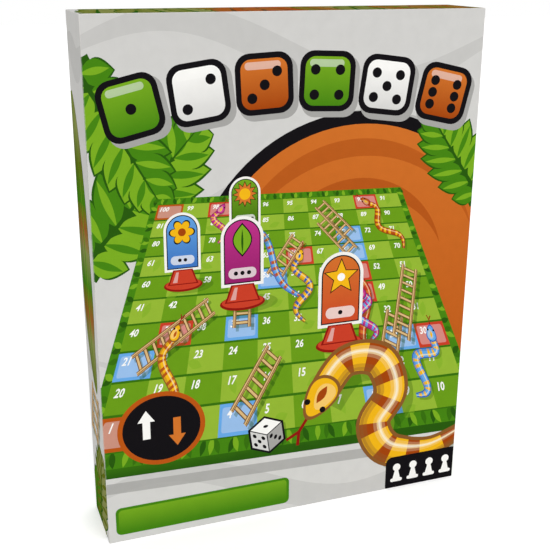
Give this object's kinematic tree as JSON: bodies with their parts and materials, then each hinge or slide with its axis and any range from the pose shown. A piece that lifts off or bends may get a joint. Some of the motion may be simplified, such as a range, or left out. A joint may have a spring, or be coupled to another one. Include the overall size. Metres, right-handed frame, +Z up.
{
  "type": "boxed snakes and ladders game",
  "caption": "Upright telescoping game box of wrapped greyboard: lid over base, with a folding snakes and ladders board, leaflet, card insert, standing card pawns and a die inside.",
  "frame": {"origin": "centre of the box's lower edge as it stands, where its bottom meets the surface", "axes": "+Z up along the box's height, the printed lid panel faces -Y, the base's panel faces +Y, +X to the right of someone looking at the lid"},
  "size_m": [0.2032, 0.0382, 0.2667],
  "materials": {
    "greyboard": "matte",
    "lid_print": "satin",
    "base_print": "satin",
    "corner_tape": "matte",
    "insert_card": "matte",
    "leaflet_paper": "matte",
    "board_print": "satin",
    "board_backing": "matte",
    "pawn_card_print": "satin",
    "stand_plastic": "gloss",
    "die_plastic": "gloss",
    "pip_paint": "matte"
  },
  "bodies": {
    "base": {"base_board": "greyboard", "base_wrap": "base_print", "base_corner_stays": "corner_tape", "insert": "insert_card"},
    "lid": {"lid_board": "greyboard", "lid_wrap": "lid_print", "lid_corner_stays": "corner_tape"},
    "leaflet": {"rules_leaflet": "leaflet_paper"},
    "board_back": {"back_leaf_core": "greyboard", "back_leaf_face": "board_print", "back_leaf_backing": "board_backing"},
    "board_front": {"front_leaf_core": "greyboard", "front_leaf_face": "board_print", "front_leaf_backing": "board_backing"},
    "pawn_1": {"pawn_card_1": "pawn_card_print", "pawn_stand_1": "stand_plastic"},
    "pawn_2": {"pawn_card_2": "pawn_card_print", "pawn_stand_2": "stand_plastic"},
    "pawn_3": {"pawn_card_3": "pawn_card_print", "pawn_stand_3": "stand_plastic"},
    "pawn_4": {"pawn_card_4": "pawn_card_print", "pawn_stand_4": "stand_plastic"},
    "die": {"die_cube": "die_plastic", "die_pips": "pip_paint"}
  },
  "joints": [
    {"name": "lid_lift", "type": "slide", "parent": "base", "child": "lid", "axis": [0, -1, 0], "range_m": [0, 0.7]},
    {"name": "board_lift", "type": "slide", "parent": "base", "child": "board_back", "axis": [0, -1, 0], "range_m": [0, 0.098]},
    {"name": "leaflet_lift", "type": "slide", "parent": "base", "child": "leaflet", "axis": [0, -1, 0], "range_m": [0, 0.07]},
    {"name": "pawn_1_lift", "type": "slide", "parent": "base", "child": "pawn_1", "axis": [0, -1, 0], "range_m": [0, 0.063]},
    {"name": "pawn_2_lift", "type": "slide", "parent": "base", "child": "pawn_2", "axis": [0, -1, 0], "range_m": [0, 0.063]},
    {"name": "pawn_3_lift", "type": "slide", "parent": "base", "child": "pawn_3", "axis": [0, -1, 0], "range_m": [0, 0.056]},
    {"name": "pawn_4_lift", "type": "slide", "parent": "base", "child": "pawn_4", "axis": [0, -1, 0], "range_m": [0, 0.056]},
    {"name": "die_lift", "type": "slide", "parent": "base", "child": "die", "axis": [0, -1, 0], "range_m": [0, 0.0595]},
    {"name": "board_fold", "type": "hinge", "parent": "board_back", "child": "board_front", "pos_m": [0.0953, -0.01485, 0.004], "axis": [0, 0, 1], "range_deg": [0, 180]}
  ],
  "couplings": [
    {"joint": "board_lift", "follows": "lid_lift", "ratio": 0.14},
    {"joint": "leaflet_lift", "follows": "lid_lift", "ratio": 0.1},
    {"joint": "pawn_1_lift", "follows": "lid_lift", "ratio": 0.09},
    {"joint": "pawn_2_lift", "follows": "lid_lift", "ratio": 0.09},
    {"joint": "pawn_3_lift", "follows": "lid_lift", "ratio": 0.08},
    {"joint": "pawn_4_lift", "follows": "lid_lift", "ratio": 0.08},
    {"joint": "die_lift", "follows": "lid_lift", "ratio": 0.085},
    {"joint": "board_fold", "follows": "lid_lift", "rad_per_m": 4.4879}
  ]
}
